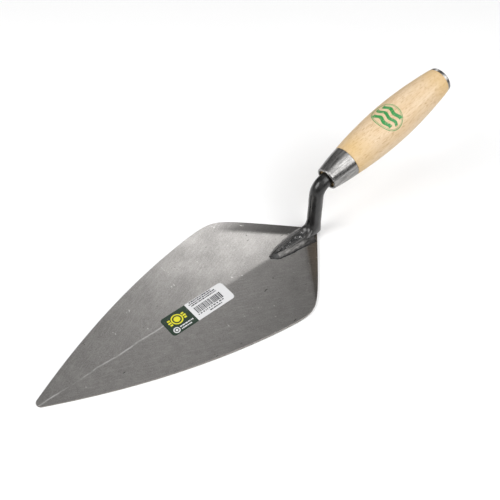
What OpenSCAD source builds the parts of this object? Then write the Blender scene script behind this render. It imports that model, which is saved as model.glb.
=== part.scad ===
// Brick trowel, 11 inch nominal.
// Millimetres, +Z up. +X runs from the blade's tip to the butt of the handle, +Y is the left side.
// The origin is the middle of the footprint, on the plane that the blade's rim lies on.
// Inside the modules x is measured from the sharp tip that the two straight sides would meet in.

/* [Blade] */
// distance from the meeting point of the sides to the heel's apex
blade_l = 280; // [200:1:330]
// widening of each side per millimetre at the tip
side_rise = 0.526; // [0.3:0.001:0.8]
// how much of that widening is lost over the blade's length
side_bow = 0.282; // [0:0.001:0.5]
// widening of the heel edge per millimetre ahead of the apex
heel_rise = 1.078; // [0.6:0.001:1.6]
// how much the heel edge bows outwards over the blade's length
heel_bow = 0.097; // [0:0.001:0.3]
// softness of the shoulders, where the side turns into the heel
shoulder_k = 6.6; // [2:0.1:15]
// radius of the rounded tip
tip_r = 4; // [1:0.5:10]
// plate thickness at the tip
plate_tip = 1.4; // [0.8:0.1:3]
// plate thickness at the heel
plate_heel = 2.2; // [1:0.1:4]
// height of the ridge above the rim
ridge_h = 3.2; // [0:0.1:8]
// where the ridge reaches its full height
ridge_x = 215; // [150:1:250]
// how late the ridge rises
ridge_power = 2.2; // [1:0.1:4]
// fall of the right heel band per millimetre towards the heel edge
heel_fall = 0.185; // [0.05:0.005:0.4]
// width of the left heel band, measured across the trowel
heel_margin = 20; // [5:0.5:40]

/* [Tang] */
// front point of the foot
foot_x0 = 224; // [200:1:250]
// half width of the foot at its widest
foot_hw = 7.2; // [4:0.1:12]
// height of the foot's flanks above the blade
foot_h = 2.6; // [2:0.1:12]
// how far the foot's front point sits to the right of the middle
foot_skew = 2.4; // [-3:0.1:3]
// depth of the seam between the flanks
seam_d = 1.5; // [0:0.1:5]
// centre of the upright neck
neck_x = 275; // [250:0.5:300]
// radius of the neck where it leaves the foot
neck_r1 = 6.1; // [4:0.1:9]
// radius of the neck at the upper bend
neck_r2 = 6.1; // [4:0.1:9]
// radius of the fillet between neck and foot
neck_fillet = 9; // [2:0.5:15]
// centreline radius of the upper bend
bend_r = 12; // [8:0.5:30]
// radius of the spike where it enters the wood
spike_r1 = 5.4; // [3:0.1:7]
// radius of the spike at the butt
spike_r2 = 3.0; // [2:0.1:5]
// radius of the peened head
peen_r = 4.6; // [3:0.1:7]

/* [Welds] */
// width of the ground weld on the left of the foot
bead_left = 3.3; // [1:0.1:6]
// width of the ground weld on the right of the foot
bead_right = 4.4; // [1:0.1:6]
// how far ahead of the neck's centre the ground weld stops
bead_stop = 6; // [3:0.5:12]

/* [Handle] */
// upward tilt of the handle in degrees
tilt = 16.6; // [0:0.1:40]
// height of the handle's axis above the rim at the reference point
axis_z = 57.4; // [40:0.1:80]
// the reference point's distance from the sharp tip
axis_x = 292.1; // [270:0.1:320]
// ferrule's front rim along the handle's axis
ferrule_u0 = -7.3; // [-20:0.1:0]
// ferrule's rear rim along the handle's axis
ferrule_u1 = 16.5; // [10:0.1:40]
// outer radius at the ferrule's front rim
ferrule_r0 = 10.4; // [8:0.1:15]
// outer radius at the ferrule's rear rim
ferrule_r1 = 14.0; // [10:0.1:20]
// wall of the ferrule
ferrule_t = 1.1; // [0.6:0.1:2]
// radius of the opening in the ferrule's rolled lip
lip_r = 8.4; // [7:0.1:10]
// thickest point of the wood along the axis
belly_u = 66; // [50:1:90]
// radius of the wood at its thickest point
belly_r = 17.6; // [12:0.1:22]
// end of the wood along the axis
wood_u1 = 128.1; // [100:0.1:150]
// radius of the wood at the butt
butt_r = 12.15; // [8:0.05:18]
// radial gap between the spike and its bore
bore_gap = 0.15; // [0.05:0.05:0.5]
// depth of the butt cap
cap_l = 3.0; // [2:0.1:8]
// outer radius of the butt cap
cap_r = 11.65; // [8:0.05:15]
// sheet thickness of the butt cap
cap_t = 1.0; // [0.5:0.1:2]

/* [Label] */
// end of the label nearer the tip
label_x0 = 114.5; // [80:0.1:150]
// length of the label
label_l = 60.8; // [30:0.1:80]
// left edge of the label
label_y1 = 4.6; // [-20:0.1:20]
// width of the label
label_w = 19.7; // [10:0.1:40]
// corner radius of the label
label_r = 3; // [1:0.5:8]
// thickness of the label
label_t = 0.15; // [0.1:0.05:0.5]

/* [Hidden] */
$fn = 96;
// the rounded tip's circle touches both sides
tip_a = atan(side_rise);
tip_cx = tip_r / sin(tip_a);
tip_x = tip_cx - tip_r;
tip_touch = tip_cx - tip_r * sin(tip_a);
// the bend leaves the upright neck and ends on the handle's axis
turn = 90 - tilt;
bend_cx = neck_x + bend_r;
bend_end_x = bend_cx - bend_r * cos(turn);
bend_end_u = (bend_end_x - axis_x) / cos(tilt);
bend_z = axis_z + bend_end_u * sin(tilt) - bend_r * sin(turn);
spike_u0 = 4;
cap_u1 = wood_u1 + cap_l;
cap_edge = 0.6;
butt_x = axis_x + cap_u1 * cos(tilt) + (cap_r - cap_edge) * sin(tilt);
centre_x = (tip_x + butt_x) / 2;
// half width of the strip where the two kinds of heel band meet, under the foot
ridge_blend = 5;
// how far the foot sinks into the blade, as welded
overlap = 0.3;
// lowest point of the foot, at its heel
heel_z = 1.2;
// points round each of the tang's sections, and the seam's width as a share of the half width
tang_points = 28;
seam_w = 0.36;
// depth of the peened head's cone
peen_l = 1.4;
// gap between wood and steel, and between the butt cap and the tang
fit_gap = 0.05;
peen_gap = 0.02;
// how far behind the ferrule's front rim the neck begins to taper into the spike
taper_d = 2.5;
// how late the wood's swelling falls away towards both ends
belly_power = 1.9;
// where the stations along the blade begin to close up, and how far short of the apex they end
close_x = 180;
heel_end = 0.6;
// how far the bead reaches under the foot and into the blade, and how far it keeps inside the rim
bead_under = 0.5;
bead_sink = 0.2;
rim_gap = 0.4;
// height of the bead at its outer edge, its middle and the foot
bead_edge = 0.1;
bead_mid = 0.75;
bead_top = 1.5;
// clearance between the label and the blade
label_gap = 0.04;

steel = [0.55, 0.54, 0.52];
lacquer = [0.09, 0.09, 0.09];
weld = [0.24, 0.23, 0.22];
bright = [0.62, 0.62, 0.62];
beech = [0.90, 0.80, 0.64];
paper = [0.93, 0.93, 0.92];

// smooth lesser of two lengths
function soft_min(a, b, k) = -k * ln(exp(-a / k) + exp(-b / k));

// smooth step from 0 to 1
function ease(t) = let (c = min(max(t, 0), 1)) c * c * (3 - 2 * c);

// side and heel lines of the blade's outline at x, and the outline itself
function side_w(x) = side_rise * x - side_bow * x * x / blade_l;
function heel_w(x) = let (d = blade_l - x) heel_rise * d - heel_bow * d * d / blade_l;
function tip_w(x) = sqrt(max(tip_r * tip_r - pow(tip_cx - x, 2), 0));
function blade_w(x) = x < tip_touch ? tip_w(x) : soft_min(side_w(x), heel_w(x), shoulder_k);

// underside and top of the plate: a low roof whose heel edges are bent down, as a flat band on the
// right and as a band of even width on the left
function ridge(x) = ridge_h * pow(min(x / ridge_x, 1), ridge_power);
function roof(x, y) = ridge(x) * max(1 - abs(y) / max(side_w(x), 1), 0);
function heel_gap(x, y) = max(heel_w(x) - abs(y), 0);
function right_z(x, y) = min(roof(x, y), heel_fall * heel_gap(x, y));
function left_z(x, y) = roof(x, y) * min(heel_gap(x, y) / heel_margin, 1);
function plate_z(x, y) =
    let (t = ease((y + ridge_blend) / (2 * ridge_blend))) right_z(x, y) * (1 - t) + left_z(x, y) * t;
function plate_t(x) = plate_tip + (plate_heel - plate_tip) * x / blade_l;
function top_z(x, y) = plate_z(x, y) + plate_t(x);

// share of the foot's length, centre line, half width, underside, crest and seam depth at x
function foot_f(x) = (x - foot_x0) / (neck_x - foot_x0);
function foot_y(x) = -foot_skew * (1 - foot_f(x));
function foot_w(x) = foot_hw * pow(sin(90 * min(foot_f(x) * 0.97 + 0.03, 1)), 0.75);
function foot_base(x) = top_z(x, foot_w(x)) - overlap;
function foot_crest(x) = top_z(x, 0) + 1 + (foot_h - 1) * ease(foot_f(x) * 1.6);
function foot_seam(x) = seam_d * ease(foot_f(x) * 4);

// closes a stack of equal loops into a solid, with a flat cap at each end
module skin(loops) {
    n = len(loops[0]);
    m = len(loops);
    points = [for (loop = loops) for (p = loop) p];
    sides = [for (i = [0:m - 2]) for (j = [0:n - 1])
        let (k = (j + 1) % n, a = i * n, b = (i + 1) * n)
        each [[a + j, b + k, b + j], [a + j, a + k, b + k]]];
    first = [for (j = [n - 1:-1:0]) j];
    last = [for (j = [0:n - 1]) (m - 1) * n + j];
    polyhedron(points, concat(sides, [first, last]), convexity = 8);
}

// places a part that is drawn along +Z from the reference point on the handle's axis
module on_axis() {
    translate([axis_x - centre_x, 0, axis_z])
        rotate([0, 90 - tilt, 0])
            children();
}

// rows across the blade, closer together at the ridge, as shares of the half width
rows = [for (i = [-8:8]) sign(i) * pow(abs(i) / 8, 1.4)];

// stations along the blade: round the tip, along the sides, then closer at the shoulders and heel
tip_stations = [for (i = [1:3]) tip_cx - tip_r * cos((90 - tip_a) * i / 4)];
side_stations = [for (i = [0:9]) tip_touch + (close_x - tip_touch) * i / 10];
heel_stations = [for (i = [0:24]) close_x + (blade_l - heel_end - close_x) * i / 24];
stations = concat(tip_stations, side_stations, heel_stations);

module blade() {
    color(steel)
        translate([-centre_x, 0, 0])
            skin([for (x = stations) concat(
                [for (t = rows) [x, blade_w(x) * t, top_z(x, blade_w(x) * t)]],
                [for (i = [len(rows) - 1:-1:0])
                    let (y = blade_w(x) * rows[i]) [x, y, plate_z(x, y)]])]);
}

// The tang is one bar, drawn as a run of cross-sections: foot, turn, neck, bend and spike.
// A section is [centre x, centre z, top direction x, top direction z, half height, half width,
// squareness, seam depth, centre y].
fillet_x = neck_x - neck_r1 - neck_fillet;
fillet_z = foot_crest(fillet_x) + neck_fillet;
foot_square = 3.2;
round_square = 2;

function foot_section(x) =
    let (z0 = foot_base(x), z1 = foot_crest(x))
    [x, (z0 + z1) / 2, 0, 1, (z1 - z0) / 2, foot_w(x), foot_square, foot_seam(x), foot_y(x)];

// the turn's sections fan out from the centre of the fillet between foot and neck
function turn_section(t) =
    let (a = 90 * (1 - t), floor_z = foot_base(fillet_x) + (heel_z - foot_base(fillet_x)) * t,
        down = (fillet_z - floor_z) / max(sin(a), 0.01),
        back = (neck_x + neck_r1 - fillet_x) / max(cos(a), 0.01),
        far = soft_min(down, back, 1.2), mid = (neck_fillet + far) / 2)
    [fillet_x + mid * cos(a), fillet_z - mid * sin(a), -cos(a), sin(a), (far - neck_fillet) / 2,
        foot_w(fillet_x) + (neck_r1 - foot_w(fillet_x)) * t,
        foot_square + (round_square - foot_square) * ease(t),
        foot_seam(fillet_x) * (1 - ease(t * 1.4)), foot_y(fillet_x) * (1 - t)];

function neck_section(t) =
    let (r = neck_r1 + (neck_r2 - neck_r1) * t)
    [neck_x + (neck_r1 - r), fillet_z + (bend_z - fillet_z) * t, -1, 0, r, r, round_square, 0, 0];

function bend_section(t) =
    let (a = turn * t)
    [bend_cx - bend_r * cos(a), bend_z + bend_r * sin(a), -cos(a), sin(a), neck_r2, neck_r2,
        round_square, 0, 0];

function spike_section(u, r) =
    [axis_x + u * cos(tilt), axis_z + u * sin(tilt), -sin(tilt), cos(tilt), r, r, round_square, 0, 0];

tang_sections = concat(
    [for (i = [0:17]) foot_section(foot_x0 + (fillet_x - foot_x0) * i / 18)],
    [for (i = [0:10]) turn_section(i / 10)],
    [for (i = [1:4]) neck_section(i / 4)],
    [for (i = [1:9]) bend_section(i / 9)],
    [spike_section(ferrule_u0 + taper_d, neck_r2), spike_section(spike_u0, spike_r1),
        spike_section(wood_u1, spike_r2), spike_section(cap_u1 - peen_l, spike_r2),
        spike_section(cap_u1, peen_r)]);

// share of the half size reached at one angle round a section, from round (2) to square
function reach(c, square) = sign(c) * pow(abs(c), 2 / square);

function section_loop(s) = [for (j = [0:tang_points - 1])
    let (a = 360 * j / tang_points, y = -s[5] * reach(cos(a), s[6]),
        seam = sin(a) > 0.01 ? s[7] * exp(-pow(y / (seam_w * s[5]), 2)) : 0,
        v = s[4] * reach(sin(a), s[6]) - seam)
    [s[0] + v * s[2], s[8] + y, s[1] + v * s[3]]];

module tang() {
    color(lacquer)
        translate([-centre_x, 0, 0])
            skin([for (s = tang_sections) section_loop(s)]);
}

// point and outward direction of the foot's outline, from its left heel (-1) round the tip to the right (1)
function rim_x(p) = foot_x0 + (neck_x - bead_stop - foot_x0) * pow(abs(p), 1.6);
function rim_point(p) = [rim_x(p), foot_y(rim_x(p)) - sign(p) * foot_w(rim_x(p))];
function rim_dir(p) =
    let (a = rim_point(p - 0.004), b = rim_point(p + 0.004), d = b - a)
    [d[1], -d[0]] / norm(d);
// the bead is a little broader on the right of the foot, and stops short of the blade's heel edge
function bead_w(p) = bead_left + (bead_right - bead_left) * ease(0.5 + 2 * p);
function in_blade(q) = [q[0], sign(q[1]) * min(abs(q[1]), blade_w(q[0]) - rim_gap)];

function bead_loop(p) =
    let (c = rim_point(p), n = rim_dir(p), w = bead_w(p),
        a = c - bead_under * n, b = in_blade(c + 0.5 * w * n), e = in_blade(c + w * n),
        za = top_z(a[0], a[1]), zb = top_z(b[0], b[1]), ze = top_z(e[0], e[1]))
    [[e[0], e[1], ze - bead_sink], [e[0], e[1], ze + bead_edge], [b[0], b[1], zb + bead_mid],
        [a[0], a[1], za + bead_top], [a[0], a[1], za - bead_sink]];

module foot_weld() {
    color(steel)
        translate([-centre_x, 0, 0])
            skin([for (i = [-24:24]) bead_loop(i / 24.5 + 0.001)]);
}

// lumpy run of weld in the foot's seam
function lump(x) = 0.35 * sin(x * 97) + 0.25 * sin(x * 211 + 40);

function seam_loop(x) =
    let (z = foot_crest(x) - foot_seam(x), f = ease((x - foot_x0) / 9), r = seam_w * foot_w(x), c = foot_y(x))
    [[x, c - 0.7 * r, z - 0.25], [x, c - r, z + 0.55 * seam_d * f + 0.5 * lump(x + 3)],
        [x, c - 0.5 * r, z + (0.85 * seam_d + lump(x)) * f],
        [x, c + 0.1 * r, z + (seam_d + lump(x + 5)) * f],
        [x, c + 0.6 * r, z + (0.8 * seam_d + lump(x + 9)) * f],
        [x, c + r, z + 0.55 * seam_d * f + 0.5 * lump(x + 7)], [x, c + 0.7 * r, z - 0.25]];

module seam_weld() {
    color(weld)
        translate([-centre_x, 0, 0])
            skin([for (i = [0:34]) seam_loop(foot_x0 + 4 + (fillet_x + 3 - foot_x0 - 4) * i / 34)]);
}

module ferrule() {
    color(bright)
        on_axis()
            rotate_extrude()
                polygon([[lip_r, ferrule_u0 + 0.3], [lip_r + 0.5, ferrule_u0],
                    [ferrule_r0 - 0.7, ferrule_u0], [ferrule_r0, ferrule_u0 + 0.8],
                    [ferrule_r1 - 0.1, ferrule_u1 - 2], [ferrule_r1, ferrule_u1],
                    [ferrule_r1 - ferrule_t, ferrule_u1],
                    [ferrule_r0 - ferrule_t, ferrule_u0 + ferrule_t + 0.2],
                    [lip_r, ferrule_u0 + ferrule_t + 0.2]]);
}

// barrel shape of the wood: it swells to the belly and narrows to the butt
function front_r(u) =
    let (t = (belly_u - u) / (belly_u - ferrule_u1)) belly_r - (belly_r - ferrule_r1) * pow(t, belly_power);
function rear_r(u) =
    let (t = (u - belly_u) / (wood_u1 - belly_u)) belly_r - (belly_r - butt_r) * pow(t, belly_power);
function wood_r(u) = u < belly_u ? front_r(u) : rear_r(u);

module handle() {
    // how far the wood's nose stays behind the inside of the ferrule's lip
    nose_back = 1.2;
    nose_u = ferrule_u0 + ferrule_t + nose_back;
    slope = (ferrule_r1 - ferrule_r0) / (ferrule_u1 - ferrule_u0);
    color(beech)
        on_axis()
            rotate_extrude()
                polygon(concat(
                    [[neck_r2 + bore_gap, nose_u],
                        [ferrule_r0 - ferrule_t - fit_gap + slope * nose_back, nose_u],
                        [ferrule_r1 - ferrule_t - fit_gap, ferrule_u1 + fit_gap]],
                    [for (i = [0:24])
                        let (u = ferrule_u1 + fit_gap + (wood_u1 - fit_gap - ferrule_u1) * i / 24)
                        [wood_r(u), u]],
                    [[cap_r - cap_t - fit_gap, wood_u1],
                        [cap_r - cap_t - fit_gap, cap_u1 - cap_t - fit_gap],
                        [spike_r2 + bore_gap, cap_u1 - cap_t - fit_gap], [spike_r2 + bore_gap, wood_u1],
                        [spike_r1 + bore_gap, spike_u0], [neck_r2 + bore_gap, ferrule_u0 + taper_d]]));
}

module butt_cap() {
    color(bright)
        on_axis()
            rotate_extrude()
                polygon([[spike_r2 + peen_gap, cap_u1 - peen_l], [peen_r, cap_u1], [cap_r - cap_edge, cap_u1],
                    [cap_r, cap_u1 - cap_edge], [cap_r, wood_u1 + fit_gap],
                    [cap_r - cap_t, wood_u1 + fit_gap], [cap_r - cap_t, cap_u1 - cap_t],
                    [spike_r2 + peen_gap, cap_u1 - cap_t]]);
}

// the label's edges at x, rounded at its corners
function label_cut(x) =
    let (d = max(label_r - min(x - label_x0, label_x0 + label_l - x), 0))
    label_r - sqrt(max(label_r * label_r - d * d, 0));
label_rows = 8;
function label_y(x, i) =
    let (c = label_cut(x)) label_y1 - c - (label_w - 2 * c) * i / label_rows;

function label_loop(x) = concat(
    [for (i = [label_rows:-1:0]) let (y = label_y(x, i)) [x, y, top_z(x, y) + label_gap + label_t]],
    [for (i = [0:label_rows]) let (y = label_y(x, i)) [x, y, top_z(x, y) + label_gap]]);

// stations: round one pair of corners, along the label, round the other pair
corner_steps = [for (i = [0:4]) label_r * (1 - cos(90 * (i + 0.3) / 4.3))];
label_stations = concat(
    [for (d = corner_steps) label_x0 + d],
    [for (i = [1:5]) label_x0 + label_r + (label_l - 2 * label_r) * i / 6],
    [for (i = [4:-1:0]) label_x0 + label_l - corner_steps[i]]);

module label() {
    color(paper)
        translate([-centre_x, 0, 0])
            skin([for (x = label_stations) label_loop(x)]);
}

blade();
tang();
foot_weld();
seam_weld();
ferrule();
handle();
butt_cap();
label();
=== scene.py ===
"""Brick trowel: the looks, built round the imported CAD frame."""
import math
import random

import bpy
from mathutils import Matrix, Vector, noise


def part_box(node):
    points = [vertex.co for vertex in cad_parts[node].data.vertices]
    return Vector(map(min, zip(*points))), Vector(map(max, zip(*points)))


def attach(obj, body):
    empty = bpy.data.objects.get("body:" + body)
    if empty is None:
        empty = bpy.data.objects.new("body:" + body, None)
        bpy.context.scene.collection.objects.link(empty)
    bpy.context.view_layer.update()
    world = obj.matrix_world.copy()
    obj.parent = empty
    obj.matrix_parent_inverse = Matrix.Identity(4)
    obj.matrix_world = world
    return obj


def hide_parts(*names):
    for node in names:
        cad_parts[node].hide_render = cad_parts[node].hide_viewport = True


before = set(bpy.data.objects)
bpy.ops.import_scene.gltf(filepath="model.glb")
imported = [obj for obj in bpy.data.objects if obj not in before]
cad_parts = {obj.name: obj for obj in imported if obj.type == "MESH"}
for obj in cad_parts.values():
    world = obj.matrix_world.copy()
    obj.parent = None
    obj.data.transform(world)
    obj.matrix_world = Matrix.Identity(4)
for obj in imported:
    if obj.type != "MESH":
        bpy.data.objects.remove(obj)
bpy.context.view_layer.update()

MM = 0.001
random.seed(11)

# ---------------------------------------------------------------- sizes
# Lengths are millimetres. x is measured from the point where the blade's two sides would meet.
BLADE_L = 280.0
SIDE_RISE, SIDE_BOW = 0.526, 0.282
HEEL_RISE, HEEL_BOW = 1.078, 0.097
SHOULDER_K = 6.6
TIP_R = 4.0
PLATE_TIP, PLATE_HEEL = 1.4, 2.2
RIDGE_H, RIDGE_X, RIDGE_POWER = 3.2, 215.0, 2.2
HEEL_FALL, HEEL_MARGIN, RIDGE_BLEND = 0.185, 20.0, 5.0
# softness of the ridge line and of the folds at the heel
RIDGE_SOFT, FOLD_SOFT = 0.9, 0.16

FOOT_X0, FOOT_HW, FOOT_H, FOOT_SKEW, SEAM_D = 224.0, 7.2, 2.6, 2.4, 1.5
NECK_X, NECK_R, NECK_FILLET, BEND_R = 275.0, 6.1, 9.0, 12.0
SPIKE_R1, SPIKE_U0 = 5.4, 4.0
BEAD_LEFT, BEAD_RIGHT, BEAD_STOP = 3.3, 4.4, 4.6

TILT = math.radians(16.6)
AXIS_X, AXIS_Z = 292.1, 57.4
FERRULE_U0, FERRULE_U1 = -7.3, 16.5
FERRULE_R0, FERRULE_R1, FERRULE_T, LIP_R = 10.4, 14.0, 1.1, 8.4
BELLY_U, BELLY_R = 66.0, 17.6
WOOD_U1, BUTT_R = 128.1, 12.15
CAP_L, CAP_R, PEEN_R = 3.0, 11.65, 4.6
# how late the wood's swelling falls away, and how far its nose stays behind the lip's inside
BELLY_POWER, NOSE_BACK = 1.9, 1.2
# rounding of the ferrule's lip, bevel of its rear edge and swelling of its side
LIP_ROUND, FERRULE_EDGE, FERRULE_BULGE = 1.2, 0.25, 0.25
# wall and rounding of the butt cap, the wood's gap inside it, and the bore at the butt
CAP_T, CAP_ROUND, CAP_GAP, BUTT_BORE_R = 1.0, 0.7, 0.1, 3.3
# gap between the neck and the wood, and between the wood and the ferrule
BORE_GAP, WOOD_GAP = 0.15, 0.05
# how far behind the ferrule's front rim the neck starts to taper
TAPER_D = 2.5
# the shown spike ends here along the handle's axis, inside the wood; the CAD one reaches the butt
SPIKE_STOP, SPIKE_STOP_R = 24.0, 4.9
# how far the foot sinks into the blade, the height of its heel and the softness of its corner
FOOT_SINK, HEEL_Z, HEEL_SOFT = 0.3, 1.2, 1.2
# from here on the right fold grows softer and the stations along the blade are closer
CLOSE_X = 180
# bevel of the blade's rim
RIM_BEVEL = 0.28
# the weld keeps this far inside the blade's edge
WELD_MARGIN = 0.4
# shares of the bead's run from its left rear end: bare up to the first, rough up to the second
BARE_END, NOSE_END = 0.46, 0.64

# angle of the grinding lines to the middle of the blade
GRIND_TURN = math.radians(23)
# in the blade's material: the heel edge as a straight slope, and how fast the wedge of painted
# shade narrows
HEEL_SLOPE, SHADE_WEDGE_SLOPE = 1.055, 0.21

LABEL_X0, LABEL_L, LABEL_Y1, LABEL_W, LABEL_R, LABEL_T = 114.5, 60.8, 4.6, 19.7, 3.0, 0.15
# how far the label floats over the blade, and each layer of print over the one below
LABEL_GAP, PRINT_GAP = 0.03, 0.02

# the CAD blade stops this short of its apex, which ties x to the frame
BLADE_STOP = 0.6
ORIGIN_X = BLADE_L - BLADE_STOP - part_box("blade")[1].x / MM
BEND_END = NECK_X + BEND_R * (1 - math.sin(TILT))
BEND_Z = AXIS_Z + (BEND_END - AXIS_X) * math.tan(TILT) - BEND_R * math.cos(TILT)


# ---------------------------------------------------------------- helpers
def soft_min(a, b, k):
    low, gap = min(a, b), abs(a - b)
    return low - k * math.log1p(math.exp(-gap / k))


def ease(t):
    t = min(max(t, 0.0), 1.0)
    return t * t * (3 - 2 * t)


def mix(a, b, t):
    return a + (b - a) * t


def sign(v):
    return (v > 0) - (v < 0)


def wobble(x, y, z=0.0):
    """Smooth noise from about -1 to 1 that is the same in every run."""
    return noise.noise(Vector((x, y, z)))


def place(p):
    """A point in millimetres from the sharp tip, as a point of the row frame in metres."""
    return Vector(((p[0] - ORIGIN_X) * MM, p[1] * MM, p[2] * MM))


def make(name, points, faces, materials, sharp=40, transform=None, picks=None):
    """A mesh object from points in millimetres; picks gives each face's material."""
    mesh = bpy.data.meshes.new(name)
    spots = [transform @ (Vector(p) * MM) if transform else place(p) for p in points]
    mesh.from_pydata(spots, [], faces)
    for material in materials:
        mesh.materials.append(material)
    if picks:
        mesh.polygons.foreach_set("material_index", picks)
    mesh.shade_smooth()
    mesh.set_sharp_from_angle(angle=math.radians(sharp))
    mesh.update()
    piece = bpy.data.objects.new(name, mesh)
    bpy.context.scene.collection.objects.link(piece)
    return piece


def skin_faces(rows, count):
    """Faces over a run of equal loops, with a cap at each end."""
    faces = []
    for i in range(rows - 1):
        for j in range(count):
            k = (j + 1) % count
            faces.append((i * count + k, (i + 1) * count + k, (i + 1) * count + j, i * count + j))
    first = tuple(reversed(range(count)))
    last = tuple((rows - 1) * count + j for j in range(count))
    return faces + [first, last]


def skin(name, loops, materials, **more):
    points = [p for loop in loops for p in loop]
    return make(name, points, skin_faces(len(loops), len(loops[0])), materials, **more)


def lathe(name, profile, materials, transform, steps=128, sharp=40):
    """A closed profile of (radius, height) turned round the local Z axis."""
    loops = []
    for i in range(steps):
        a = 2 * math.pi * i / steps
        loops.append([(r * math.cos(a), r * math.sin(a), u) for r, u in profile])
    count = len(profile)
    points = [p for loop in loops for p in loop]
    faces = []
    for i in range(steps):
        n = (i + 1) % steps
        for j in range(count):
            k = (j + 1) % count
            faces.append((i * count + j, n * count + j, n * count + k, i * count + k))
    return make(name, points, faces, materials, sharp=sharp, transform=transform)


def finish_piece(piece, slot, *nodes):
    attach(piece, "root")
    if nodes:
        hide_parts(*nodes)
    return piece


# ---------------------------------------------------------------- node helpers
class Shader:
    """A small wrapper that adds and links shader nodes; along_axis turns it to the handle."""

    def __init__(self, name, along_axis=False, **settings):
        self.material = bpy.data.materials.new(name)
        self.material.use_nodes = True
        self.tree = self.material.node_tree
        self.bsdf = self.tree.nodes["Principled BSDF"]
        for key, value in settings.items():
            self.bsdf.inputs[key.replace("_", " ")].default_value = value
        self.coords = self.tree.nodes.new("ShaderNodeTexCoord").outputs["Object"]
        if along_axis:
            self.coords = self.node("Mapping", {
                "Vector": self.coords, "Location": place((AXIS_X, 0, AXIS_Z)),
                "Rotation": (0, math.pi / 2 - TILT, 0)}, vector_type="TEXTURE").outputs[0]

    def node(self, kind, inputs=(), **settings):
        made = self.tree.nodes.new("ShaderNode" + kind)
        for key, value in settings.items():
            setattr(made, key, value)
        for key, value in dict(inputs).items():
            if isinstance(value, bpy.types.NodeSocket):
                self.tree.links.new(value, made.inputs[key])
            else:
                made.inputs[key].default_value = value
        return made

    def scaled(self, scale, source=None):
        return self.node("Mapping", {"Vector": source or self.coords, "Scale": scale}).outputs[0]

    def noise(self, scale, detail=3.0, rough=0.5, stretch=(1, 1, 1), distortion=0.0, source=None):
        vector = self.scaled(stretch, source)
        return self.node("TexNoise", {"Vector": vector, "Scale": scale, "Detail": detail,
                                      "Roughness": rough, "Distortion": distortion}).outputs[0]

    def range(self, value, low, high, to_low=0.0, to_high=1.0):
        made = self.node("MapRange", {"Value": value, "From Min": low, "From Max": high,
                                      "To Min": to_low, "To Max": to_high})
        made.clamp = True
        return made.outputs[0]

    def math(self, operation, a, b=0.0):
        return self.node("Math", {0: a, 1: b}, operation=operation).outputs[0]

    def blend(self, factor, a, b):
        made = self.node("Mix", data_type="RGBA")
        for index, value in ((0, factor), (6, a), (7, b)):
            if isinstance(value, bpy.types.NodeSocket):
                self.tree.links.new(value, made.inputs[index])
            else:
                made.inputs[index].default_value = value
        return made.outputs[2]

    def split(self):
        return self.node("SeparateXYZ", {0: self.coords}).outputs

    def bump(self, height, strength, distance, under=None):
        inputs = {"Height": height, "Strength": strength, "Distance": distance}
        if under is not None:
            inputs["Normal"] = under
        return self.node("Bump", inputs).outputs[0]

    def set(self, **sockets):
        for key, value in sockets.items():
            self.tree.links.new(value, self.bsdf.inputs[key.replace("_", " ")])


def grey(v, warm=0.0):
    return (v * (1 + warm), v, v * (1 - warm), 1.0)


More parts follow.
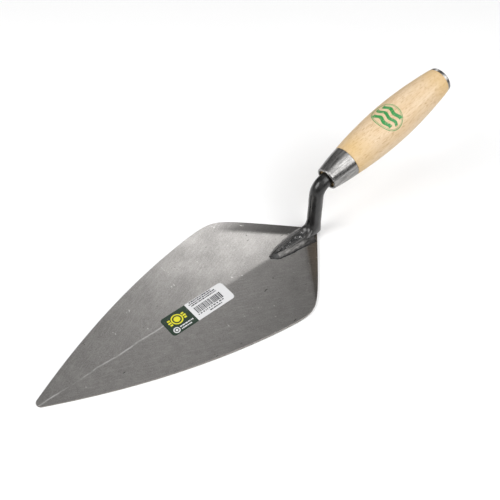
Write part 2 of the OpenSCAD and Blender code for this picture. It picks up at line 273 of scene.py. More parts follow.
# ---------------------------------------------------------------- materials
def blade_material():
    """Ground steel: cloudy tones, fine grinding lines, nicks, dents and a rubbed ridge."""
    s = Shader("blade_steel", Metallic=1.0)
    x, y, _ = s.split()
    beside = s.math("ABSOLUTE", y)
    # the grinding lines lie along each side's edge, so they are mirrored at the ridge
    mirrored = s.node("CombineXYZ", {0: x, 1: beside, 2: 0.0}).outputs[0]
    turned = s.node("Mapping", {"Vector": mirrored, "Rotation": (0, 0, -GRIND_TURN)}).outputs[0]
    clouds = s.noise(42, 5, 0.62)
    mottle = s.noise(170, 4, 0.65)
    grain = s.noise(1300, 3, 0.7, (0.45, 1, 1), source=turned)
    grind = s.noise(620, 4, 0.65, (0.13, 1.0, 1.0), 0.2, source=turned)
    tone = s.blend(s.range(clouds, 0.32, 0.68), grey(0.325, 0.035), grey(0.425, 0.035))
    tone = s.blend(s.range(mottle, 0.35, 0.70, 0.0, 0.65), tone, grey(0.27, 0.04))
    speckle = s.noise(1500, 2, 0.6)
    tone = s.blend(s.range(speckle, 0.55, 0.72, 0.0, 0.55), tone, grey(0.14, 0.04))
    tone = s.blend(s.range(speckle, 0.42, 0.28, 0.0, 0.50), tone, grey(0.62, 0.03))
    tone = s.blend(s.range(grind, 0.50, 0.72, 0.0, 0.38), tone, grey(0.56, 0.03))
    tone = s.blend(s.range(grain, 0.40, 0.75, 0.0, 0.55), tone, grey(0.23, 0.04))
    # painted shade on the bent heel bands: an even strip on the left, a wedge on the right
    inward = s.math("MULTIPLY", s.math("SUBTRACT", place((BLADE_L, 0, 0)).x, x), HEEL_SLOPE)
    gap = s.math("SUBTRACT", inward, beside)
    shade_strip = s.range(s.math("ADD", gap, s.math("MULTIPLY", mottle, 0.002)), 0.0160, 0.0240, 1, 0)
    shade_strip = s.math("MULTIPLY", shade_strip, s.range(y, 0.0, 0.003))
    narrowed = s.math("ADD", gap, s.math("MULTIPLY", beside, SHADE_WEDGE_SLOPE))
    shade_wedge = s.range(narrowed, 0.0140, 0.0158, 1, 0)
    shade_wedge = s.math("MULTIPLY", shade_wedge, s.range(y, -0.003, 0.0, 1, 0))
    fade = s.range(beside, 0.044, 0.062, 1, 0)
    heel_shade = s.math("ADD", s.math("MULTIPLY", s.math("MULTIPLY", shade_strip, fade), 0.62),
                  s.math("MULTIPLY", shade_wedge, 0.42))
    tone = s.blend(heel_shade, tone, grey(0.03, 0.04))
    # towards the tip the ridge line is rubbed bright, and wanders a little
    wander = s.math("MULTIPLY", s.math("SUBTRACT", s.noise(30, 3, 0.6, (1, 0.05, 1)), 0.5), 0.005)
    off = s.math("ABSOLUTE", s.math("ADD", s.math("SUBTRACT", y, wander), 0.0015))
    line = s.range(off, 0.0001, 0.0009, 1.0, 0.0)
    forward = s.range(x, -0.10, -0.07, 1.0, 0.0)
    broken = s.range(s.noise(220, 4, 0.7, (0.4, 1, 1)), 0.36, 0.58)
    worn = s.math("MULTIPLY", s.math("MULTIPLY", line, forward), broken)
    tone = s.blend(s.math("MULTIPLY", worn, 0.6), tone, grey(0.85, 0.01))
    # sparse dark nicks
    nick = s.range(s.noise(330, 2, 0.5, (0.35, 1, 1)), 0.735, 0.76)
    tone = s.blend(s.math("MULTIPLY", nick, 0.7), tone, grey(0.06))
    # and a few bright dents
    dent = s.range(s.noise(280, 2, 0.5, (1, 0.6, 1)), 0.735, 0.755)
    tone = s.blend(s.math("MULTIPLY", dent, 0.6), tone, grey(0.80, 0.02))
    rough = s.math("ADD", s.range(clouds, 0.3, 0.7, 0.35, 0.29),
                   s.range(grain, 0.3, 0.8, -0.03, 0.06))
    rough = s.math("ADD", rough, s.math("MULTIPLY", worn, 0.12))
    normal = s.bump(grind, 0.10, 0.0002)
    normal = s.bump(grain, 0.12, 0.0001, normal)
    normal = s.bump(mottle, 0.06, 0.0006, normal)
    s.set(Base_Color=tone, Roughness=rough, Normal=normal)
    return s.material


def edge_material():
    """The plate's sheared rim: darker and a little brown."""
    s = Shader("blade_rim", Metallic=1.0)
    marks = s.noise(600, 3, 0.6, (1, 1, 0.2))
    tone = s.blend(marks, grey(0.16, 0.08), grey(0.34, 0.05))
    s.set(Base_Color=tone, Roughness=s.range(marks, 0.3, 0.7, 0.55, 0.4),
          Normal=s.bump(marks, 0.3, 0.0002))
    return s.material


def lacquer_material():
    """Black lacquer on forged steel, uneven and thin in places."""
    s = Shader("tang_lacquer", Specular_IOR_Level=0.4, Coat_Weight=0.3, Coat_Roughness=0.12)
    swell = s.noise(140, 3, 0.5)
    pores = s.noise(1500, 3, 0.7)
    _, _, z = s.split()
    base = s.blend(s.range(swell, 0.35, 0.7), grey(0.006), grey(0.016, 0.03))
    # pale metal dust low on the foot
    low = s.math("MULTIPLY", s.range(z, 0.006, 0.011, 1.0, 0.0), s.range(pores, 0.45, 0.6))
    base = s.blend(s.math("MULTIPLY", low, 0.5), base, grey(0.20, 0.04))
    s.set(Base_Color=base, Roughness=s.range(swell, 0.3, 0.7, 0.24, 0.40),
          Normal=s.bump(pores, 0.12, 0.0002, s.bump(swell, 0.35, 0.0012)))
    return s.material


def bead_material(name, low, high):
    """Weld ground smooth, with streaks between two tones."""
    s = Shader(name, Metallic=1.0)
    streak = s.noise(700, 4, 0.65, (0.25, 1, 1))
    blotch = s.noise(260, 3, 0.6)
    tone = s.blend(s.range(streak, 0.35, 0.7), grey(low, 0.03), grey(high, 0.03))
    s.set(Base_Color=tone, Roughness=s.range(blotch, 0.3, 0.7, 0.46, 0.34),
          Normal=s.bump(streak, 0.30, 0.0004))
    return s.material


def raw_weld_material(name, bright):
    """Rough weld, lacquered over; bright is how strong the spots of broken lacquer are."""
    s = Shader(name, Specular_IOR_Level=0.4, Coat_Weight=0.25, Coat_Roughness=0.15)
    lumps = s.noise(900, 4, 0.7)
    spots = s.math("MULTIPLY", s.range(s.noise(560, 4, 0.75), 0.58, 0.64), bright)
    tone = s.blend(spots, grey(0.006), grey(0.75, 0.01))
    s.set(Base_Color=tone, Metallic=spots,
          Roughness=s.range(lumps, 0.3, 0.7, 0.46, 0.22), Normal=s.bump(lumps, 0.8, 0.0007))
    return s.material


def turned_steel_material():
    """Satin steel of the ferrule and the cap: lines along the axis, specks, pits and marks."""
    s = Shader("bright_steel", True, Metallic=1.0, Anisotropic=0.35)
    drawn = s.noise(650, 3, 0.6, (1, 1, 0.06))
    marks = s.noise(240, 4, 0.65)
    spots = s.range(s.noise(1300, 2, 0.6), 0.66, 0.74)
    pits = s.range(s.noise(1700, 3, 0.7, (1, 1, 0.5)), 0.52, 0.66)
    tone = s.blend(s.range(drawn, 0.35, 0.65), grey(0.18, 0.02), grey(0.36, 0.02))
    tone = s.blend(s.math("MULTIPLY", spots, 0.5), tone, grey(0.60))
    tone = s.blend(s.math("MULTIPLY", pits, 0.35), tone, grey(0.08, 0.02))
    s.set(Base_Color=tone, Roughness=s.range(marks, 0.3, 0.7, 0.24, 0.34),
          Normal=s.bump(drawn, 0.10, 0.0002, s.bump(marks, 0.05, 0.0006)))
    return s.material


def wood_nodes(s):
    """Pale straight-grained beech, with its grain along local Z."""
    _, _, z = s.split()
    fibre = s.noise(1000, 4, 0.7, (1, 1, 0.07))
    bands = s.noise(150, 3, 0.55, (1, 1, 0.05), 0.4)
    flecks = s.range(s.noise(1500, 2, 0.5, (1, 1, 0.16)), 0.57, 0.66)
    patches = s.noise(30, 3, 0.5)
    tone = s.blend(s.range(bands, 0.3, 0.7), (0.60, 0.445, 0.275, 1), (0.69, 0.545, 0.375, 1))
    tone = s.blend(s.range(patches, 0.35, 0.75, 0.0, 0.40), tone, (0.66, 0.47, 0.27, 1))
    tone = s.blend(s.range(fibre, 0.42, 0.72, 0.0, 0.55), tone, (0.50, 0.33, 0.17, 1))
    tone = s.blend(s.math("MULTIPLY", flecks, 0.70), tone, (0.40, 0.24, 0.11, 1))
    # the clear lacquer is thicker and yellower at both ends
    ends = s.math("MAXIMUM", s.range(z, 0.022, 0.040, 1.0, 0.0), s.range(z, 0.108, 0.126))
    ends = s.math("MULTIPLY", ends, s.range(s.noise(55, 3, 0.6), 0.25, 0.65, 0.35, 1.0))
    tone = s.blend(s.math("MULTIPLY", ends, 0.66), tone, (0.56, 0.37, 0.13, 1))
    rough = s.range(bands, 0.3, 0.7, 0.56, 0.46)
    normal = s.bump(fibre, 0.14, 0.0003, s.bump(flecks, 0.12, 0.0002))
    return tone, rough, normal


def wood_material():
    s = Shader("handle_wood", True, Specular_IOR_Level=0.35, Coat_Weight=0.12, Coat_Roughness=0.30)
    tone, rough, normal = wood_nodes(s)
    s.set(Base_Color=tone, Roughness=rough, Normal=normal)
    return s.material


def print_material():
    """Green ink printed on the wood, worn through in specks."""
    s = Shader("handle_ink", True, Specular_IOR_Level=0.35, Coat_Weight=0.10, Coat_Roughness=0.30)
    tone, rough, normal = wood_nodes(s)
    worn = s.range(s.noise(1200, 3, 0.7, (1, 1, 0.3)), 0.58, 0.66)
    ink = s.blend(s.noise(300, 2, 0.5), (0.016, 0.19, 0.040, 1), (0.030, 0.28, 0.070, 1))
    s.set(Base_Color=s.blend(s.math("MULTIPLY", worn, 0.8), ink, tone), Roughness=rough,
          Normal=normal)
    return s.material


def paper_material(name, colour):
    """The label's paper and its inks, with a faint fibre and scuffs."""
    shaded = tuple(c * 0.8 for c in colour[:3]) + (1,)
    s = Shader(name, Specular_IOR_Level=0.45)
    fibre = s.noise(2600, 3, 0.6)
    scuff = s.range(s.noise(420, 4, 0.7), 0.60, 0.72)
    tone = s.blend(s.range(fibre, 0.3, 0.7, 0.0, 0.12), colour, shaded)
    tone = s.blend(s.math("MULTIPLY", scuff, 0.15), tone, grey(0.6))
    s.set(Base_Color=tone, Roughness=s.range(fibre, 0.3, 0.7, 0.33, 0.46),
          Normal=s.bump(fibre, 0.10, 0.00008))
    return s.material


def floor_material():
    s = Shader("floor_board", Roughness=0.9, Specular_IOR_Level=0.1)
    s.set(Base_Color=s.blend(s.noise(4, 2, 0.5), grey(0.86), grey(0.90)))
    return s.material


# ---------------------------------------------------------------- blade
def side_w(x):
    return SIDE_RISE * x - SIDE_BOW * x * x / BLADE_L


def heel_w(x):
    d = BLADE_L - x
    return HEEL_RISE * d - HEEL_BOW * d * d / BLADE_L


TIP_A = math.atan(SIDE_RISE)
TIP_CX = TIP_R / math.sin(TIP_A)
TIP_TOUCH = TIP_CX - TIP_R * math.sin(TIP_A)


def blade_w(x):
    if x < TIP_TOUCH:
        return math.sqrt(max(TIP_R ** 2 - (TIP_CX - x) ** 2, 0))
    return soft_min(side_w(x), heel_w(x), SHOULDER_K)


def ridge_y(x):
    """The ridge line drifts to the right, by 2.4 mm in all where the foot begins."""
    return -1.3 * ease(x / 60) - 1.1 * ease((x - 150) / 70)


def underside(x, y):
    """Height of the plate's underside: a low roof with a soft ridge and bent-down heel edges."""
    line = ridge_y(x)
    across = math.hypot(y - line, RIDGE_SOFT) - RIDGE_SOFT
    reach_out = max(side_w(x) - sign(y - line) * line, 1)
    ridge = RIDGE_H * min(x / RIDGE_X, 1) ** RIDGE_POWER
    roof = ridge * max(1 - across / reach_out, 0)
    gap = max(heel_w(x) - abs(y), 0)
    right = soft_min(roof, HEEL_FALL * gap, FOLD_SOFT * ease((x - CLOSE_X) / 40) + 0.001)
    left = roof * min(soft_min(gap / HEEL_MARGIN, 1, 0.06), 1)
    return max(mix(right, left, ease((y + RIDGE_BLEND) / (2 * RIDGE_BLEND))), 0)


def plate_t(x):
    return mix(PLATE_TIP, PLATE_HEEL, x / BLADE_L)


def top_z(x, y):
    return underside(x, y) + plate_t(x)


def blade():
    """The plate, with a dense and slightly uneven top and a bevelled rim."""
    tip = [TIP_CX - TIP_R * math.cos((math.pi / 2 - TIP_A) * i / 14) for i in range(1, 14)]
    sides = [mix(TIP_TOUCH, CLOSE_X, i / 70) for i in range(70)]
    heel = [mix(CLOSE_X, BLADE_L - BLADE_STOP, i / 110) for i in range(111)]
    half = 44
    shares = [sign(i) * (abs(i) / half) ** 1.35 for i in range(-half, half + 1)]
    loops = []
    picks = []
    for x in tip + sides + heel:
        w = blade_w(x)
        inner = max(w - RIM_BEVEL, w * 0.6)
        top = []
        for share in shares:
            y = inner * share
            dent = 0.05 * wobble(x / 34, y / 26) * ease((w - abs(y)) / 8)
            top.append((x, y, top_z(x, y) + dent))
        low = [(x, inner * share, underside(x, inner * share)) for share in reversed(shares)]
        h = top_z(x, w)
        right = [(x, -w, RIM_BEVEL), (x, -w, h - RIM_BEVEL)]
        left = [(x, w, h - RIM_BEVEL), (x, w, RIM_BEVEL)]
        loops.append(right + top + left + low)
    count, tops = len(loops[0]), len(shares)
    steel, edge = blade_material(), edge_material()
    for _ in range(len(loops) - 1):
        for j in range(count):
            on_rim = j < 2 or tops + 1 <= j < tops + 4 or j == count - 1
            picks.append(1 if on_rim else 0)
    piece = skin("blade_plate", loops, [steel, edge], picks=picks + [1, 1], sharp=30)
    return finish_piece(piece, "blade_steel", "blade")


# ---------------------------------------------------------------- tang
FILLET_X = NECK_X - NECK_R - NECK_FILLET


def foot_f(x):
    return (x - FOOT_X0) / (NECK_X - FOOT_X0)


def foot_y(x):
    return -FOOT_SKEW * (1 - foot_f(x))


def foot_w(x):
    return FOOT_HW * math.sin(math.pi / 2 * min(foot_f(x) * 0.97 + 0.03, 1)) ** 0.75


def foot_base(x):
    return top_z(x, foot_w(x)) - FOOT_SINK


def foot_crest(x):
    return top_z(x, 0) + 1 + (FOOT_H - 1) * ease(foot_f(x) * 1.6)


def foot_seam(x):
    return SEAM_D * ease(foot_f(x) * 4)


FILLET_Z = foot_crest(FILLET_X) + NECK_FILLET
SQUARE, ROUND = 3.2, 2.0
SECTION_POINTS = 72


def tang_sections():
    """Sections of the bar: centre x and z, top direction x and z, half height, half width,
    squareness, seam depth and centre y."""
    out = []
    for i in range(70):
        x = mix(FOOT_X0, FILLET_X, i / 70)
        z0, z1 = foot_base(x), foot_crest(x)
        out.append((x, (z0 + z1) / 2, 0, 1, (z1 - z0) / 2, foot_w(x), SQUARE, foot_seam(x),
                    foot_y(x)))
    for i in range(49):
        t = i / 48
        a = math.pi / 2 * (1 - t)
        floor_z = mix(foot_base(FILLET_X), HEEL_Z, t)
        down = (FILLET_Z - floor_z) / max(math.sin(a), 0.01)
        back = (NECK_X + NECK_R - FILLET_X) / max(math.cos(a), 0.01)
        far = soft_min(down, back, HEEL_SOFT)
        mid = (NECK_FILLET + far) / 2
        out.append((FILLET_X + mid * math.cos(a), FILLET_Z - mid * math.sin(a), -math.cos(a),
                    math.sin(a), (far - NECK_FILLET) / 2, mix(foot_w(FILLET_X), NECK_R, t),
                    mix(SQUARE, ROUND, ease(t)), foot_seam(FILLET_X) * (1 - ease(t * 1.4)),
                    foot_y(FILLET_X) * (1 - t)))
    for i in range(1, 25):
        out.append((NECK_X, mix(FILLET_Z, BEND_Z, i / 24), -1, 0, NECK_R, NECK_R, ROUND, 0, 0))
    for i in range(1, 33):
        a = (math.pi / 2 - TILT) * i / 32
        out.append((NECK_X + BEND_R * (1 - math.cos(a)), BEND_Z + BEND_R * math.sin(a),
                    -math.cos(a), math.sin(a), NECK_R, NECK_R, ROUND, 0, 0))
    for u, r in ((FERRULE_U0 + TAPER_D, NECK_R), (SPIKE_U0, SPIKE_R1),
                 (SPIKE_STOP, SPIKE_STOP_R)):
        out.append((AXIS_X + u * math.cos(TILT), AXIS_Z + u * math.sin(TILT),
                    -math.sin(TILT), math.cos(TILT), r, r, ROUND, 0, 0))
    return out


def reach(c, square):
    return sign(c) * abs(c) ** (2 / square)


def section_loop(s):
    cx, cz, dx, dz, tall, wide, square, seam, cy = s
    loop = []
    for j in range(SECTION_POINTS):
        a = 2 * math.pi * j / SECTION_POINTS
        y = -wide * reach(math.cos(a), square)
        v = tall * reach(math.sin(a), square)
        if math.sin(a) > 0.01:
            v -= seam * math.exp(-(y / (0.42 * wide)) ** 2)
        hammered = 0.12 * wobble(cx / 7 + dx, y / 5, cz / 7)
        y *= 1 + hammered / max(wide, 1)
        loop.append((cx + (v + hammered) * dx, cy + y, cz + (v + hammered) * dz))
    return loop


def tang():
    loops = [section_loop(s) for s in tang_sections()]
    piece = skin("tang_bar", loops, [lacquer_material()], sharp=75)
    return finish_piece(piece, "tang_lacquer", "tang")


# ---------------------------------------------------------------- welds
def rim_x(p):
    return FOOT_X0 + (NECK_X - BEAD_STOP - FOOT_X0) * abs(p) ** 1.6


def rim_point(p):
    x = rim_x(p)
    return Vector((x, foot_y(x) - sign(p) * foot_w(x)))


def in_blade(q):
    return Vector((q[0], sign(q[1]) * min(abs(q[1]), blade_w(q[0]) - WELD_MARGIN)))


def foot_weld():
    """The ground bead round the foot: a soft ramp from the foot's side down to the blade."""
    loops = []
    for i in range(-140, 141):
        p = i / 143 + 0.0005
        a, b = rim_point(p - 0.004), rim_point(p + 0.004)
        n = Vector((b.y - a.y, a.x - b.x)).normalized()
        c = rim_point(p)
        w = mix(BEAD_LEFT, BEAD_RIGHT, ease(0.5 + 2 * p)) * (1 + 0.10 * wobble(i / 9, 3))
        w *= mix(0.35, 1, ease(abs(p) * 3))
        loop = []
        for k in range(9):
            t = k / 8
            q = in_blade(c + n * mix(w, -0.6, t))
            high = mix(1.3, 2.5, ease(0.5 + 2 * p)) * mix(0.7, 1, ease(abs(p) * 3))
            rise = high * ease(t) ** 0.9 + 0.06 * wobble(q.x / 2, q.y / 2, 7)
            loop.append((q.x, q.y, top_z(q.x, q.y) + rise * (0.3 + 0.7 * t)))
        first, last = loop[0], loop[-1]
        loop.append((last[0], last[1], last[2] - 1.8))
        loop.append((first[0], first[1], first[2] - 0.4))
        loops.append(loop)
    count = len(loops[0])
    picks = []
    for i in range(len(loops) - 1):
        left = i < BARE_END * len(loops)
        nose = BARE_END * len(loops) <= i < NOSE_END * len(loops)
        for j in range(count):
            # strips along the bead's edges take the black weld as painted shade: by the foot's wall
            # on the left, where the bead meets the blade on the right; the nose is black rough weld
            shade_or_nose = 6 <= j <= 7 if left else j <= 1 or nose
            picks.append(2 if shade_or_nose else 0 if left else 1)
    # the third, black material is rough weld on the nose and painted shade in the crevices
    materials = [bead_material("bare_weld", 0.26, 0.46), bead_material("painted_weld", 0.035, 0.12),
                 raw_weld_material("black_nose_and_crevice_shade", 0.0)]
    piece = skin("foot_bead", loops, materials, sharp=60, picks=picks + [1, 1])
    return finish_piece(piece, "ground_weld", "foot_weld")


def seam_weld():
    """The raw bead in the seam: overlapping lumps with a rough skin."""
    loops = []
    start, stop = FOOT_X0 + 3, FILLET_X + 4
    for i in range(150):
        x = mix(start, stop, i / 149)
        w = foot_w(x) * 0.44
        z = foot_crest(x) - foot_seam(x) - 0.2
        up = (SEAM_D + 0.35) * ease((x - FOOT_X0) / 9)
        loop = []
        for k in range(21):
            t = k / 20 * 2 - 1
            lump = 0.55 * wobble(x / 1.7, t * 1.6, 2) + 0.25 * wobble(x / 0.7, t * 4, 5)
            high = z + up * (1 - t * t) ** 0.6 + lump * ease((x - start) / 3)
            loop.append((x, foot_y(x) + t * w, high))
        loop += [(x, foot_y(x) + w * 0.8, z - 1.2), (x, foot_y(x) - w * 0.8, z - 1.2)]
        loops.append(loop)
    piece = skin("seam_bead", loops, [raw_weld_material("raw_weld", 0.9)], sharp=70)
    return finish_piece(piece, "raw_weld", "seam_weld")


# ---------------------------------------------------------------- handle
def axis_matrix():
    """Local Z runs along the handle towards the butt, and local X down and a little that way."""
    turn = Matrix.Rotation(math.pi / 2 - TILT, 4, "Y")
    return Matrix.Translation(place((AXIS_X, 0, AXIS_Z))) @ turn


def wood_r(u):
    if u < BELLY_U:
        t = (BELLY_U - u) / (BELLY_U - FERRULE_U1)
        return BELLY_R - (BELLY_R - FERRULE_R1) * t ** BELLY_POWER
    t = (u - BELLY_U) / (WOOD_U1 - BELLY_U)
    return BELLY_R - (BELLY_R - BUTT_R) * t ** BELLY_POWER


def ferrule():
    bell = []
    for i in range(25):
        t = i / 24
        u = mix(FERRULE_U0 + 1.4, FERRULE_U1 - FERRULE_EDGE, t)
        swell = FERRULE_BULGE * math.sin(math.pi * t)
        bell.append((mix(FERRULE_R0, FERRULE_R1, t) + swell, u))
    lip = []
    for i in range(9):
        a = math.radians(mix(0, 90, i / 8))
        lip.append((FERRULE_R0 - LIP_ROUND * (1 - math.cos(a)),
                    FERRULE_U0 + LIP_ROUND * (1 - math.sin(a))))
    profile = [(FERRULE_R1 - FERRULE_T, FERRULE_U1), (FERRULE_R1 - FERRULE_EDGE, FERRULE_U1)]
    profile += bell[::-1] + lip
    profile += [(LIP_R + 0.2, FERRULE_U0), (LIP_R, FERRULE_U0 + 0.3), (LIP_R, FERRULE_U0 + 1.0),
                (FERRULE_R0 - FERRULE_T, FERRULE_U0 + 1.3)]
    piece = lathe("ferrule_tube", profile, [turned_steel_material()], axis_matrix())
    return finish_piece(piece, "bright_steel", "ferrule")


def handle(wood):
    nose = FERRULE_U0 + FERRULE_T + NOSE_BACK
    profile = [(NECK_R + BORE_GAP, nose), (FERRULE_R0 - FERRULE_T - 0.1, nose),
               (FERRULE_R1 - FERRULE_T - WOOD_GAP, FERRULE_U1 - 0.6),
               (FERRULE_R1 - FERRULE_T - WOOD_GAP, FERRULE_U1 + 0.12),
               (FERRULE_R1 - FERRULE_EDGE, FERRULE_U1 + 0.12)]
    for i in range(91):
        u = mix(FERRULE_U1 + 0.4, WOOD_U1 - 0.25, i / 90)
        profile.append((wood_r(u), u))
    core_r, core_u = CAP_R - CAP_T - CAP_GAP, WOOD_U1 + 1.8
    profile += [(BUTT_R - 0.3, WOOD_U1), (core_r, WOOD_U1 + 0.02), (core_r, core_u),
                (BUTT_BORE_R, core_u)]
    piece = lathe("handle_wood", profile, [wood], axis_matrix(), sharp=50)
    return finish_piece(piece, "wood", "handle")


def butt_cap(steel):
    end = WOOD_U1 + CAP_L
    profile = [(PEEN_R, end - 0.05)]
    for i in range(7):
        a = math.radians(mix(90, 0, i / 6))
        profile.append((CAP_R - CAP_ROUND * (1 - math.cos(a)), end - CAP_ROUND * (1 - math.sin(a))))
    profile += [(CAP_R, WOOD_U1 + 0.1), (CAP_R - 0.1, WOOD_U1 + 0.02),
                (CAP_R - CAP_T, WOOD_U1 + 0.02), (CAP_R - CAP_T, end - CAP_T),
                (BUTT_BORE_R, end - CAP_T)]
    cap = lathe("butt_cap_cup", profile, [steel], axis_matrix())
    finish_piece(cap, "bright_steel", "butt_cap")
    head = [(0.01, end - 1.2), (PEEN_R - 0.9, end - 1.2), (PEEN_R - 0.03, end - 0.12),
            (PEEN_R - 0.5, end - 0.01), (PEEN_R * 0.5, end - 0.02), (0.01, end - 0.05)]
    peen = lathe("tang_peen", head, [steel], axis_matrix(), steps=64)
    finish_piece(peen, "tang_lacquer")


# ---------------------------------------------------------------- printed mark on the handle
MARK_U, MARK_ANGLE, MARK_LIFT = 63.0, -11.0, 0.04


def mark_point(a, b):
    """A point of the mark on the wood: a runs along the handle and b round it, in millimetres."""
    u = MARK_U + a
    r = wood_r(u) + MARK_LIFT
    phi = math.radians(MARK_ANGLE) + b / BELLY_R
    return (-r * math.cos(phi), r * math.sin(phi), u)


def add_patch(points, faces, outer, inner, steps):
    """A strip between two lines of the mark, each a function of a share from 0 to 1."""
    base = len(points)
    for i in range(steps + 1):
        t = i / steps
        points.append(mark_point(*outer(t)))
        points.append(mark_point(*inner(t)))
    for i in range(steps):
        k = base + 2 * i
        faces.append((k, k + 1, k + 3, k + 2))


def oval(scale_a, scale_b):
    def line(t):
        w = 2 * math.pi * t
        return scale_a * math.cos(w), scale_b * math.sin(w)
    return line


def wave_edge(a0, half, shift):
    """One edge of a wavy bar that runs round the handle."""
    def line(t):
        b = mix(-half, half, t)
        return a0 + shift + 0.9 * math.sin(b * 0.55), b
    return line


def handle_mark():
    """A plain device: two oval rings round three wavy bars."""
    points, faces = [], []
    for a, b, width in ((11.8, 15.0, 0.6), (10.6, 13.8, 0.3)):
        add_patch(points, faces, oval(a, b), oval(a - width, b - width), 96)
    for a0, half, thick in ((-5.9, 9.6, 3.4), (0, 11.8, 3.0), (5.9, 9.6, 3.4)):
        back, front = wave_edge(a0, half, thick / 2), wave_edge(a0, half, -thick / 2)
        add_patch(points, faces, back, front, 48)
    piece = make("handle_mark", points, faces, [print_material()], transform=axis_matrix())
    return finish_piece(piece, "wood")


# ---------------------------------------------------------------- label
def label_point(u, v, lift):
    """u runs from the label's tip end, v from its left edge, both in millimetres."""
    x, y = LABEL_X0 + u, LABEL_Y1 - v
    return (x, y, top_z(x, y) + LABEL_GAP + lift)


class Print:
    """Gathers thin printed shapes that lie on the label."""

    def __init__(self, name, material, lift):
        self.name, self.material, self.lift = name, material, lift
        self.points, self.faces = [], []

    def box(self, u0, v0, u1, v1):
        """A box, cut into narrow strips so that it follows the blade."""
        strips = max(1, round(abs(v1 - v0) / 0.8))
        for k in range(strips):
            a, b = mix(v0, v1, k / strips), mix(v0, v1, (k + 1) / strips)
            base = len(self.points)
            for u, v in ((u0, a), (u1, a), (u1, b), (u0, b)):
                self.points.append(label_point(u, v, self.lift))
            self.faces.append((base, base + 1, base + 2, base + 3))

    def disc(self, u, v, r, steps=28):
        base = len(self.points)
        self.points.append(label_point(u, v, self.lift))
        for i in range(steps):
            a = 2 * math.pi * i / steps
            self.points.append(label_point(u + r * math.cos(a), v + r * math.sin(a), self.lift))
        for i in range(steps):
            self.faces.append((base, base + 1 + i, base + 1 + (i + 1) % steps))

    def ring(self, u, v, outer, inner, steps=40):
        base = len(self.points)
        for i in range(steps):
            a = 2 * math.pi * i / steps
            for r in (outer, inner):
                self.points.append(label_point(u + r * math.cos(a), v + r * math.sin(a), self.lift))
        for i in range(steps):
            k, n = base + 2 * i, base + 2 * ((i + 1) % steps)
            self.faces.append((k, n, n + 1, k + 1))

    def words(self, u0, v0, length, height, gap=0.4):
        """A row of short dashes that stands for small print and spells nothing."""
        at = 0.0
        while at < length:
            end = min(at + random.uniform(0.7, 2.3), length)
            self.box(u0 + at, v0, u0 + end, v0 + height)
            at = end + gap * random.uniform(0.7, 1.4)

    def build(self):
        piece = make(self.name, self.points, self.faces, [self.material])
        return finish_piece(piece, "label_paper")


# the green part's share of the label's length
GREEN_SHARE = 0.396
# rows of small print on the white part: distance from the left edge, start, length
TEXT_ROWS = ((0.5, 4.0, 21.5), (2.3, 2.6, 26.0), (4.2, 3.6, 25.0))
# the block of bars: start and end along the white part, near and far edge across it
BARS_FROM, BARS_TO, BARS_NEAR, BARS_FAR = 3.8, 28.8, 7.2, 13.7
# centres of the disc and of the badge on the green part
DISC_U, DISC_V, BADGE_U, BADGE_V = 11.6, 7.6, 5.4, 16.0
# the bars on both sides of the disc: ends of those nearest the tip, first edge, step, width
SIDE_FROM, SIDE_TO, SIDE_V, SIDE_STEP, SIDE_W = 3.4, 6.2, 4.6, 2.3, 1.5


def label_sheet(name, u_from, u_to, material, *nodes):
    """One part of the sticker as a thin sheet with rounded outer corners."""
    loops = []
    stations = 60
    for i in range(stations + 1):
        u = mix(u_from, u_to, i / stations)
        d = max(LABEL_R - min(u, LABEL_L - u), 0)
        cut = LABEL_R - math.sqrt(max(LABEL_R ** 2 - d * d, 0))
        cut = min(cut, LABEL_R * 0.97)
        vs = [mix(LABEL_W - cut, cut, k / 40) for k in range(41)]
        top = [label_point(u, v, LABEL_T) for v in vs]
        low = [label_point(u, v, 0) for v in reversed(vs)]
        loops.append(top + low)
    piece = skin(name, loops, [material])
    return finish_piece(piece, "label_paper", *nodes)


def label():
    white = paper_material("label_white", (0.60, 0.60, 0.605, 1))
    green = paper_material("label_green", (0.010, 0.026, 0.014, 1))
    ink = paper_material("label_ink", (0.03, 0.03, 0.035, 1))
    yellow = paper_material("label_yellow", (0.60, 0.56, 0.02, 1))
    split = LABEL_L * GREEN_SHARE
    label_sheet("label_white_part", split, LABEL_L, white, "label")
    label_sheet("label_green_part", 0, split, green)
    on_top = LABEL_T + PRINT_GAP

    # white part: rows of small print round a block of bars
    black = Print("label_black_print", ink, on_top)
    for v, start, length in TEXT_ROWS:
        black.words(split + start, v, length, 1.15)
    at = split + BARS_FROM
    while at < split + BARS_TO:
        wide = random.choice((0.4, 0.4, 0.4, 0.8, 0.8, 1.1))
        black.box(at, BARS_NEAR, at + wide, BARS_FAR)
        at += wide + random.choice((0.4, 0.4, 0.7))
    black.words(split + 3.2, 14.5, 25.0, 1.1, gap=0.9)
    black.words(split + 13.0, 16.7, 12.0, 1.1)
    black.build()

    # green part: a plain disc in a ring between bars, and a plain ring on a white disc
    bright = Print("label_yellow_print", yellow, on_top)
    bright.ring(DISC_U, DISC_V, 5.0, 3.9)
    bright.disc(DISC_U, DISC_V, 2.7)
    for k in range(3):
        v = SIDE_V + SIDE_STEP * k
        start = SIDE_FROM + 0.5 * abs(k - 1)
        bright.box(start, v, SIDE_TO, v + SIDE_W)
        bright.box(2 * DISC_U - SIDE_TO, v, 2 * DISC_U - start, v + SIDE_W)
    bright.build()
    pale = Print("label_white_print", white, on_top)
    pale.disc(BADGE_U, BADGE_V, 2.8)
    pale.words(9.2, 14.5, 12.6, 1.1)
    pale.words(9.2, 16.8, 9.6, 1.1)
    pale.build()
    core = Print("label_badge_ring", green, on_top + PRINT_GAP)
    core.ring(BADGE_U, BADGE_V, 1.9, 1.1)
    core.build()


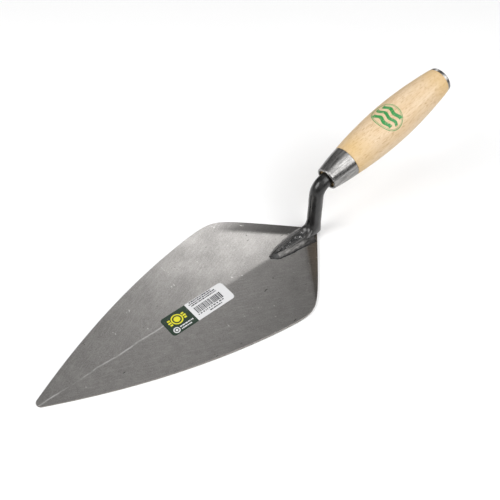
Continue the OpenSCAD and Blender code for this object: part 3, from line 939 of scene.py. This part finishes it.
# ---------------------------------------------------------------- studio
# name, brightness of the panel, side in metres, (azimuth from +Y towards +X, elevation)
LIGHTS = [
    ("heel_card", 2.9, 0.45, (36, 39)),
    ("heel_wash", 1.0, 0.5, (28, 34)),
    ("tip_card", 0.4, 0.6, (12, 55)),
    ("overhead", 2.3, 0.8, (190, 80)),
    ("right_fill", 2.1, 1.0, (145, 42)),
    ("front_fill", 3.6, 1.2, (168, 50)),
    ("left_fill", 6.6, 1.0, (285, 40)),
]
LIGHT_DISTANCE = 1.7
WORLD = 0.20
# half the side of the floor, and how far it lies below the blade's rim, in metres
FLOOR_HALF, FLOOR_DROP = 4.0, 0.0002


def area_light(name, radiance, side, direction, distance, target):
    """A square soft box that faces the target; direction is in degrees."""
    data = bpy.data.lights.new(name, "AREA")
    data.shape, data.size = "SQUARE", side
    data.energy = radiance * math.pi * side * side
    lamp = bpy.data.objects.new(name, data)
    az, el = (math.radians(v) for v in direction)
    away = Vector((math.sin(az) * math.cos(el), math.cos(az) * math.cos(el), math.sin(el)))
    lamp.location = Vector(target) + away * distance
    lamp.rotation_mode = "QUATERNION"
    lamp.rotation_quaternion = away.to_track_quat("Z", "Y")
    bpy.context.scene.collection.objects.link(lamp)


def studio():
    floor_mesh = bpy.data.meshes.new("studio_floor")
    corners = [(FLOOR_HALF * a, FLOOR_HALF * b, 0) for a, b in ((-1, -1), (1, -1), (1, 1), (-1, 1))]
    floor_mesh.from_pydata(corners, [], [(0, 1, 2, 3)])
    floor_mesh.materials.append(floor_material())
    floor = bpy.data.objects.new("studio_floor", floor_mesh)
    floor.location.z = -FLOOR_DROP
    bpy.context.scene.collection.objects.link(floor)

    middle = place((200, 0, 20))
    for name, radiance, size, direction in LIGHTS:
        area_light(name, radiance, size, direction, LIGHT_DISTANCE, middle)

    world = bpy.data.worlds.new("studio_world")
    world.use_nodes = True
    world.node_tree.nodes["Background"].inputs[0].default_value = (1.0, 1.0, 1.0, 1)
    world.node_tree.nodes["Background"].inputs[1].default_value = WORLD
    bpy.context.scene.world = world


# fitted viewpoint: place in millimetres, turn from +Y towards +X and down, lens and framing
CAMERA_AT = (-68.5, -310.9, 457.4)
CAMERA_HEADING, CAMERA_PITCH = math.radians(40.03), math.radians(46.38)
CAMERA_LENS, CAMERA_SHIFT = 53.64, (0.0197, 0.0036)


def camera():
    """The photograph's viewpoint: beyond the tip on the trowel's right, looking down on it."""
    data = bpy.data.cameras.new("camera")
    data.sensor_width = 36
    data.lens = CAMERA_LENS
    data.shift_x, data.shift_y = CAMERA_SHIFT
    data.clip_start, data.clip_end = 0.05, 20
    eye = bpy.data.objects.new("camera", data)
    eye.location = place(CAMERA_AT)
    heading, pitch = CAMERA_HEADING, CAMERA_PITCH
    look = Vector((math.sin(heading) * math.cos(pitch), math.cos(heading) * math.cos(pitch),
                   -math.sin(pitch)))
    eye.rotation_mode = "QUATERNION"
    eye.rotation_quaternion = look.to_track_quat("-Z", "Y")
    bpy.context.scene.collection.objects.link(eye)
    bpy.context.scene.camera = eye


def main():
    blade()
    tang()
    foot_weld()
    seam_weld()
    tube = ferrule()
    handle(wood_material())
    butt_cap(tube.data.materials[0])
    handle_mark()
    label()
    studio()
    camera()
    bpy.context.scene.view_settings.view_transform = "Standard"


main()
